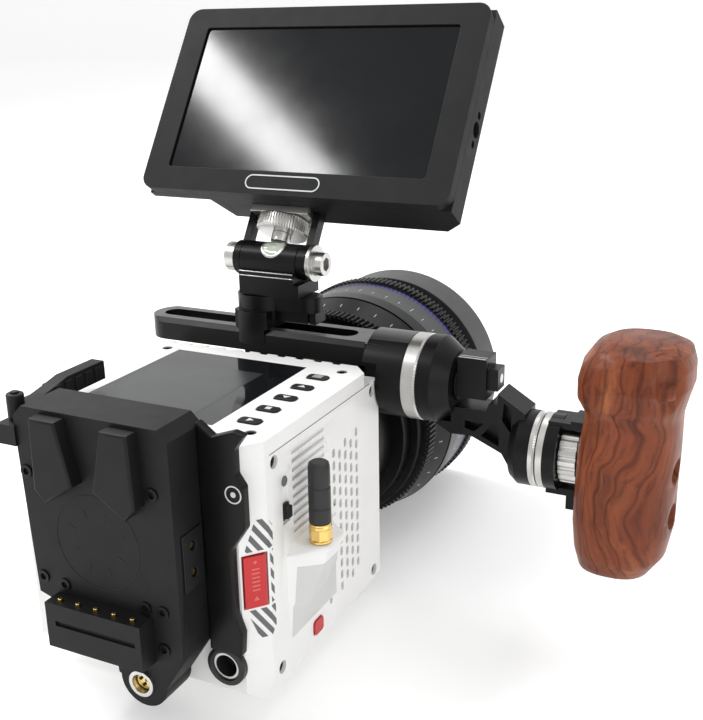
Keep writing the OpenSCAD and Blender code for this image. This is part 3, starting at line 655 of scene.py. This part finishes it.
def body_marks():
    """The lit area of the top display, the lamp and seam of the panel, the door's relief."""
    s = Shape()
    s.box((-33.6, -33.4, 98.15), (14, 21, 98.24))
    s.done("display_area", "camera", ACTIVE, "screen_glass", bevel=0.02)
    s = Shape()
    s.cyl("x", (-27.8, 79), 50.5, 50.95, 1.9, 0, 32, c=0.12)
    s.box((50.55, -36.8, 92.1), (50.66, 42, 92.35), 1)
    s.done("panel_lamp", "camera", [GREY_PRINT, SHADOW], "key_plastic")
    s = Shape()
    s.prism([(-1.2, 40.4), (0.9, 40.4), (-0.15, 42.2)], "y", -0.95, -1.12, 0, CORNER)
    for k in range(6):
        z = 44.2 + 1.6 * k
        s.box((-1.5, -1.1, z), (1.3, -0.95, z + 0.6), 0, CORNER)
    s.cyl("y", (-0.15, 55.2), -0.95, -1.12, 0.6, 0, 20, CORNER)
    s.done("media_door_relief", "media_door", RED_PRINT, "red_plastic")


def left_side():
    """A plain service cover on the side away from the grip, with slots drawn as strips of painted
    shade.
    """
    s = Shape()
    s.box((-HALF_WIDTH - 0.5, -38, 6), (-HALF_WIDTH + 0.2, 44, 88))
    s.done("left_cover", "camera", WHITE, "white_paint", bevel=0.4, segments=3)
    s = Shape()
    # Each slot is a thin dark strip laid on the cover: painted shade.
    for k in range(9):
        z = 52 + 3.6 * k
        s.box((-HALF_WIDTH - 0.56, -26, z), (-HALF_WIDTH - 0.4, 30, z + 1.5))
    s.done("left_slot_shades", "camera", SHADOW, "black_plastic")
    s = Shape()
    for y in (-34.5, 40.5):
        for z in (9.5, 84.5):
            s.screw("x", (y, z), -HALF_WIDTH - 0.4, -HALF_WIDTH - 0.95, 2.1)
    # The screws' sockets take the second material: painted shade.
    s.done("left_screws", "camera", [SATIN, SHADOW], "grey_anodised", sharp=30)


def antenna_parts():
    """The rubber whip with its two necks, and the plated nut with its flats and rings."""
    at, sides = (59, -17.7), 48
    s = Shape()
    profile = [(TINY, 60.4), (3.7, 60.4), (4.05, 60.8), (4.05, 66.2), (3.85, 66.5)]
    profile += [(3.85, 66.9), (4.05, 67.2), (4.05, 74.2), (3.8, 74.6), (3.8, 75.1)]
    profile += [(4.0, 75.5), (3.95, 82.2), (3.6, 83.5), (2.9, 84), (TINY, 84)]
    s.lathe(profile, "z", at, sides, False)
    s.skin("antenna_whip", RUBBER, sharp=30)
    s = Shape()
    seat = [(2.7, 53.1), (3.9, 53.1), (4.2, 53.3), (4.2, 53.9), (3.8, 54.1)]
    s.lathe(seat, "z", at, sides, False)
    flats = [(3.8, 54.1), (4.25, 54.3), (4.25, 58.3), (3.8, 58.5)]
    s.lathe(flats, "z", at, 8, False, phase=0.5)
    collar = [(3.8, 58.5), (4.2, 58.7), (4.2, 59.5), (3.9, 59.7), (3.9, 60.4), (2.7, 60.4)]
    s.lathe(collar + [(2.7, 53.1)], "z", at, sides, False)
    s.skin("antenna_nut", GOLD, sharp=30)


# ---------------------------------------------------------------- battery plate

PLATE_BACK = -68  # the plate's rear face
HORN_BACK = -73.6  # the rear face of the lock horns
DC_SOCKET = (37.1, 14.2)
PLATE_SOCKET = (9.5, 7.4)


def plate_details():
    """Engraving drawn in painted shade, contacts, the wing's mark and the collar round the DC
    socket.
    """
    s = Shape()
    ring = (-0.5, 63)
    # The engraved ring and its ticks are thin dark sheets on the face: painted shade.
    groove = [(17.2, -68.02), (17.2, -68.08), (17.9, -68.08), (17.9, -68.02)]
    s.lathe(groove, "y", ring, 120)
    for k in range(8):
        turn = Matrix.Rotation(math.pi * (k + 0.5) / 4, 4, "Y")
        m = Matrix.Translation((ring[0], 0, ring[1])) @ turn
        s.box((9.3, -68.08, -0.45), (12.6, -68.0, 0.45), 0, m)
    s.done("plate_engraving_shade", "camera", SHADOW, "black_plastic")
    s = Shape()
    for z in (55, 65):
        s.cyl("x", (-58.7, z), 28.6, 31.8, 1.35, 0, 24, c=0.3)
    s.cyl("y", PLATE_SOCKET, -60.1, -61.9, 3.3, 0, 40, c=0.25)
    # The socket's three holes are small dark discs: painted shade.
    for dx, dz in ((-1.3, 0.9), (1.3, 0.9), (0, -1.3)):
        s.cyl("y", (PLATE_SOCKET[0] + dx, PLATE_SOCKET[1] + dz), -61.8, -62.4, 0.6, 1, 16)
    s.done("gold_contacts", "camera", [GOLD, SHADOW], "gold_plate")
    s = Shape()
    mark = (45.4, 83.2)
    s.lathe([(2.75, -52.25), (2.75, -52.33), (3.25, -52.33), (3.25, -52.25)], "y", mark, 64)
    s.cyl("y", mark, -52.2, -52.33, 1.0, 0, 32)
    s.done("wing_mark", "camera", PALE_PRINT, "white_paint")
    s = Shape()
    collar = [(7.6, -48.1), (7.6, -50.6), (7.1, -51.0), (5.6, -51.0), (5.2, -50.5), (5.2, -48.1)]
    s.lathe(collar, "y", DC_SOCKET, 72)
    s.done("dc_collar", "camera", SATIN, "grey_anodised")


def dc_socket():
    """The ring of the power socket in the corner, with painted shade inside."""

    def inside(c, n):
        return c.y > -49.9 and math.hypot(c.x - DC_SOCKET[0], c.z - DC_SOCKET[1]) < 4.5

    s = Shape().cad("dc_socket")
    # The faces inside the bore take painted shade.
    s.paint(1, inside)
    s.skin("dc_socket", [STEEL, SHADOW], sharp=30)


def battery_plate():
    """The moulded plate with its broad rounded edges and softened lock horns."""
    s = Shape().cad("battery_plate")
    bm = s.bm
    bm.normal_update()

    def on(e, test):
        return all(test(v.co) for v in e.verts)

    def hard(e):
        return len(e.link_faces) == 2 and e.calc_face_angle(0) > math.radians(30)

    def outer(c):
        """On one of the plate's sides or on its cut corners."""
        return abs(c.x) > 27.9

    def on_rim(e):
        """The sides and top of the rear face, and the edges that run forward from its corners.

        The lever's holder beyond the plate's left side is left out, and so is the middle."""
        on_back = on(e, lambda c: abs(c.y - PLATE_BACK) < 0.02)
        outline = on(e, lambda c: (outer(c) or c.z > 104) and c.x > -32.02)
        middle = on(e, lambda c: abs(c.x) < 27)
        crest = on(e, lambda c: c.z > 108.9)
        corner = on(e, lambda c: c.z > 104.9 and outer(c))
        runs_forward = abs(e.verts[0].co.y - e.verts[1].co.y) > 5
        return (on_back and (crest or (outline and not middle))) or (corner and runs_forward)

    def soften(edges, width, segments):
        bmesh.ops.bevel(
            bm, geom=edges, offset=width, segments=segments, profile=0.5, affect="EDGES",
            clamp_overlap=True,
        )

    def on_horn(e):
        return on(e, lambda c: abs(c.y - HORN_BACK) < 0.02)

    soften([e for e in bm.edges if hard(e) and on_rim(e)], 2.4, 5)
    soften([e for e in bm.edges if hard(e) and on_horn(e)], 1.1, 4)
    s.skin("battery_plate", [PLASTIC, SHADOW], sharp=38, weigh=True)


def release_lever():
    """The lever on top of the plate, with grip ribs on both of its sides."""
    left, right = -38.6, -33.0
    s = Shape()
    side = [(-58, 102.1), (-17.3, 102.1), (-17.3, 109.2), (-17.9, 109.5), (-38, 109.5)]
    side += [(-46, 107.6), (-52, 106.4), (-62, 106.4), (-62, 102.1)]
    s.prism(side, "x", left, right)
    for y in (-43.5, -38, -32.5, -27, -21.5):
        rib = rect(y, 105.5, 1.7, 2.5)
        s.prism(rib, "x", right, right + 0.5)
        s.prism(rib, "x", left, left - 0.4)
    s.cyl("z", (-35.8, -62), 101.6, 110.6, 3.1, 0, 48, c=0.4)
    s.skin("release_lever", PLASTIC, bevel=0.35)


# ---------------------------------------------------------------- lens


def on_lens(angle):
    """The frame of the lens axis, turned about it."""
    return Matrix.Translation((0, 0, LENS_Z)) @ Matrix.Rotation(angle, 4, "Y")


def focus_ring():
    """The focus ring: a scale band with ticks, a violet line, and gear teeth."""
    bore, band = 40.08, 55.2
    ticks = 48
    profile = [
        (bore, 125, 0), (54.9, 125, 0), (band, 125.3, 0), (band, 134, 1), (band, 149.6, 2),
        (band, 152.3, 0), (55.6, 152.8, 0), (56.8, 153.0, 0, 1.5), (56.8, 161.1, 0, 1.5),
        (56.2, 161.3, 0, 0.9), (bore, 161.3, 0),
    ]
    s = Shape()
    s.lathe(profile, "y", (0, LENS_Z), 560, True, None, TOOTH)
    for k in range(ticks):
        length = 2.6 if k % 4 else 4.2
        turn = on_lens(2 * math.pi * k / ticks)
        s.box((-0.16, 137.6, band - 0.05), (0.16, 137.6 + length, band + 0.06), 3, turn)
    s.skin("focus_ring", [LENS_BLACK, BAND, VIOLET, PALE_PRINT], sharp=28)


def iris_ring():
    """The iris ring: gear teeth, and ticks on its conical front."""
    bore = 40.08
    ticks = 36
    profile = [
        (bore, 99.3), (47.7, 99.3), (48, 99.6), (48, 105), (51.5, 105.2, 0, 1.4),
        (51.5, 112.6, 0, 1.4), (50.8, 112.8), (54.8, 124.2), (54.6, 124.7), (bore, 124.7),
    ]
    s = Shape()
    s.lathe(profile, "y", (0, LENS_Z), 508, True, None, TOOTH)
    slope = Matrix.Translation((0, 117, 52.35)) @ Matrix.Rotation(math.radians(20), 4, "X")
    for k in range(ticks):
        m = on_lens(2 * math.pi * k / ticks) @ slope
        s.box((-0.15, 0, -0.1), (0.15, 2.2, 0.07), 1, m)
    s.skin("iris_ring", [LENS_BLACK, PALE_PRINT], sharp=28)


# ---------------------------------------------------------------- rail, mount and monitor


def top_rail():
    """The rail, with a painted sheen on its top faces."""
    s = Shape().cad("top_rail")
    s.bm.normal_update()
    # The top faces take the lighter material: a painted sheen.
    s.paint(1, lambda c, n: n.z > 0.9 and c.z > 105)
    s.skin("top_rail", [BLACK, RAIL_TOP_PAINTED_SHEEN], bevel=0.5)


def thumbwheel():
    """The knurled wheel under the monitor, with its stud."""
    rim, stud = 11.4, 3.1
    profile = [
        (TINY, 11.8), (10.5, 11.8), (rim, 12.6, 0, 0.55), (rim, 17.4, 0, 0.55), (10.7, 18.2),
        (stud, 18.2), (stud, 29.4), (TINY, 29.4),
    ]
    s = Shape()
    s.lathe(profile, "z", (-3.5, 0), 240, False, HEAD, TOOTH)
    s.skin("thumbwheel", STEEL, sharp=30)


def base_highlight_lines():
    """Two painted highlight lines across the foot of the tilt base, in bright metal."""
    s = Shape()
    for z in (130.15, 128.25):
        s.box((-16.5, 54.86, z), (9.6, 55.1, z + 0.4))
    s.done("base_highlight_lines", "tilt_base", STEEL, "bright_metal", bevel=0.05)


def level_vial():
    """A round bubble level that follows the barrel of the tilt base."""
    x, barrel, turn, sides = -2.2, 7.4, math.radians(28), 48

    def on_barrel(reach, height):
        ring = []
        for k in range(sides):
            t = 2 * math.pi * k / sides
            a = turn + reach * math.sin(t) / barrel
            y, z = TILT_Y - height * math.sin(a), TILT_Z + height * math.cos(a)
            ring.append((x + reach * math.cos(t), y, z))
        return ring

    rim = [(5.6, 7.2), (5.6, 7.56), (5.4, 7.64), (4.7, 7.64), (4.5, 7.56)]
    glass = [rim[-1], (4.3, 7.6), (2.5, 7.66), (0.02, 7.68)]
    s = Shape()
    s.loft([on_barrel(*p) for p in rim])
    s.loft([on_barrel(*p) for p in glass], 1)
    s.done("level_vial", "tilt_base", [STEEL, LEVEL], "bright_metal")


def lever_highlights_and_dot():
    """Two painted highlight lines and a dot on the clamp lever."""
    s = Shape()
    # The two lines are painted highlights along the lever's top edges.
    for y in (58.05, 60.1):
        s.box((82.4, y, 102.95), (94.0, y + 0.55, 103.12))
    s.cyl("x", (64, 94.3), 98.5, 98.75, 1.9, 0, 28, c=0.1)
    s.done("lever_highlights_and_dot", BODY_OF["clamp_lever"], STEEL, "bright_metal")


def rosette(node, at, x0, x1, r, depth):
    """A metal disc with a dark face, toothed near its rim to a depth."""
    bore = 4.1
    profile = [
        (bore, x0), (r - 0.35, x0), (r, x0 + 0.35), (r, x1 - 0.9), (r, x1 - 0.05, 1, depth),
        (r - 1.2, x1), (bore, x1),
    ]
    s = Shape()
    s.lathe(profile, "x", at, 192, True, None, FINE_TOOTH)
    s.skin(node, [STEEL, SATIN], sharp=30)


def pill(w, h):
    """The outline of a bar with round ends."""
    steps, r = 14, h / 2
    out = []
    for cx, a0 in ((w / 2 - r, -90), (-w / 2 + r, 90)):
        for i in range(steps + 1):
            a = math.radians(a0 + 180 * i / steps)
            out.append((cx + r * math.cos(a), r * math.sin(a)))
    return out


def monitor_badge():
    """An empty outlined pill on the lower bezel."""
    cx, cz, y = 1.2, 27.4, -18.5
    outer, inner = pill(35.5, 6.6), pill(34.4, 5.5)
    n = len(outer)
    verts = [(cx + p[0], t, cz + p[1]) for t in (y - 0.1, y + 0.02) for p in outer + inner]
    faces = []
    for k in range(n):
        q = (k + 1) % n
        faces += [(k, q, n + q, n + k), (2 * n + k, 3 * n + k, 3 * n + q, 2 * n + q)]
        faces += [(k, 2 * n + k, 2 * n + q, q), (n + k, n + q, 3 * n + q, 3 * n + k)]
    s = Shape()
    s.faces(verts, faces, 0, HEAD)
    s.done("monitor_badge", "monitor", PALE_PRINT, "white_paint", sharp=40)


# ---------------------------------------------------------------- side grip


def wooden_grip():
    """The wooden grip with the finger scoop and its small raised tab at the head."""
    s = Shape().cad("wooden_grip", flat=0)
    bm = s.bm
    centre = Vector((167.8, 40.2, 107.6))
    out, side = Vector((0.72, -0.69, 0)), Vector((0.69, 0.72, 0))
    for _ in range(2):
        close = [e for e in bm.edges if all((v.co - centre).length < 17 for v in e.verts)]
        bmesh.ops.subdivide_edges(bm, edges=close, cuts=1, use_grid_fill=True)
    for v in bm.verts:
        d = v.co - centre
        if d.dot(out) < -7:
            continue
        across, up = d.dot(side), d.z
        depth = 3.8 * smooth(1.2 - 1.2 * math.hypot(across / 7.6, up / 12.5))
        tab = 2.6 * smooth(2.5 - 2.5 * max(abs(across - 0.5) / 3.2, abs(up + 2.8) / 3.4))
        v.co -= out * (depth - min(tab, depth * 0.8))
    s.skin("wooden_grip", WOOD, sharp=50)


# ---------------------------------------------------------------- all the pieces


def remaining_nodes():
    """Every node not replaced yet keeps its CAD shape, with rounded edges and a material."""
    for node in frame["nodes"]:
        if not frame["nodes"][node].hide_render:
            look = OWN_LOOK.get(node, LOOK[SLOT_OF[node]])
            rounding = OWN_ROUNDING.get(node, ROUNDING)
            Shape().cad(node).skin(node, [look, SHADOW], bevel=rounding)


body_panels()
antenna_mound()
vent_screen()
corner_stripes()
key_symbols()
body_marks()
plate_details()
dc_socket()
battery_plate()
release_lever()
antenna_parts()
left_side()
top_rail()
wooden_grip()
focus_ring()
iris_ring()
thumbwheel()
base_highlight_lines()
level_vial()
lever_highlights_and_dot()
rosette("hub_rosette", (64, 90.8), 62.0, 68.3, 18.0, 0.7)
rosette("arm_rosette", GRIP_PIVOT, 114.4, 117.2, 15.3, 0.7)
rosette("grip_rosette", GRIP_PIVOT, 117.5, 120.3, 15.3, 0.0)
monitor_badge()
remaining_nodes()


# ---------------------------------------------------------------- stage, light, camera
# From here on, lights and the camera are placed in metres.

CAMERA_AT = (0.2219, -0.3171, 0.2320)
CAMERA_AZ, CAMERA_EL, CAMERA_ROLL = (math.radians(v) for v in (26.49, 18.03, -1.06))
CAMERA_LENS = 52.58
MIDDLE = (0, 0.05, 0.08)  # what the key and top lights point at
SCREEN_CENTRE = (0.003, 0.087, 0.199)  # of the monitor


def matrix_of(right, up, back, at):
    """A placement from three axes and a position."""
    m = Matrix((right, up, back)).transposed().to_4x4()
    m.translation = at
    return m


def studio_floor():
    """A pale sheet that runs level under the rig and curves up far behind it."""
    half, ground = 5000, -9.3
    profile = [(-half, ground), (1000, ground), (2200, ground), (3000, 100), (3600, 700)]
    profile += [(3800, 1600), (3800, 4200)]
    s = Shape()
    verts = [(x, y, z) for y, z in profile for x in (-half, half)]
    strips = [(2 * i, 2 * i + 1, 2 * i + 3, 2 * i + 2) for i in range(len(profile) - 1)]
    s.faces(verts, strips)
    for v in s.bm.verts:
        v.co *= MM
    mesh = bpy.data.meshes.new("studio_floor")
    s.bm.to_mesh(mesh)
    s.bm.free()
    paper = surface("paper_floor", grey(0.86), 0.8, spread=0.01, grain=60, relief=0.1)
    glow = paper.node_tree.nodes["Principled BSDF"]
    glow.inputs["Emission Color"].default_value = (1, 1, 1, 1)
    glow.inputs["Emission Strength"].default_value = 0.26
    mesh.materials.append(paper)
    mesh.polygons.foreach_set("use_smooth", [True] * len(mesh.polygons))
    floor = bpy.data.objects.new("studio_floor", mesh)
    bpy.context.scene.collection.objects.link(floor)


def area_light(name, at, target, size, power):
    """A rectangular light that points at a target."""
    data = bpy.data.lights.new(name, "AREA")
    data.shape = "RECTANGLE"
    data.size, data.size_y = size
    data.energy = power
    light = bpy.data.objects.new(name, data)
    bpy.context.scene.collection.objects.link(light)
    light.location = at
    light.rotation_euler = (Vector(target) - Vector(at)).to_track_quat("-Z", "Y").to_euler()
    return light


def world():
    """An even white surrounding."""
    studio = bpy.data.worlds.new("studio")
    bpy.context.scene.world = studio
    studio.use_nodes = True
    background = studio.node_tree.nodes["Background"]
    background.inputs["Color"].default_value = (1, 1, 1, 1)
    background.inputs["Strength"].default_value = 0.74


def lights():
    """Three large lights, and a narrow tall one for the streak across the monitor."""
    area_light("key_light", (-1.3, 0.45, 1.5), MIDDLE, (0.9, 0.9), 20)
    area_light("fill_light", (1.3, -0.9, 0.7), (0.05, 0.05, 0.08), (0.9, 0.9), 3.6)
    area_light("top_light", (0.2, 0.6, 1.6), MIDDLE, (1.2, 0.8), 7)
    aim = Vector(SCREEN_CENTRE)
    window = area_light("window_light", (-0.655, -0.405, 1.089), aim, (0.069, 0.36), 3.2)
    back = (window.location - aim).normalized()
    tall = Vector((0.601, -0.799, -0.017))
    tall = (tall - tall.dot(back) * back).normalized()
    window.matrix_world = matrix_of(tall.cross(back), tall, back, window.location)


def camera():
    """The view from behind the rig, above it and on the side of the grip."""
    data = bpy.data.cameras.new("camera")
    data.lens = CAMERA_LENS
    data.sensor_width = 36.0
    data.sensor_fit = "AUTO"
    data.clip_start = 0.02
    data.clip_end = 30
    view = bpy.data.objects.new("view_camera", data)
    bpy.context.scene.collection.objects.link(view)
    level = math.cos(CAMERA_EL)
    back = Vector((math.sin(CAMERA_AZ) * level, -math.cos(CAMERA_AZ) * level, math.sin(CAMERA_EL)))
    right = (-back).cross(Vector((0, 0, 1))).normalized()
    up = right.cross(-back)
    c, s = math.cos(CAMERA_ROLL), math.sin(CAMERA_ROLL)
    view.matrix_world = matrix_of(c * right + s * up, c * up - s * right, back, CAMERA_AT)
    bpy.context.scene.camera = view
    bpy.context.scene.view_settings.view_transform = "Standard"


studio_floor()
world()
lights()
camera()
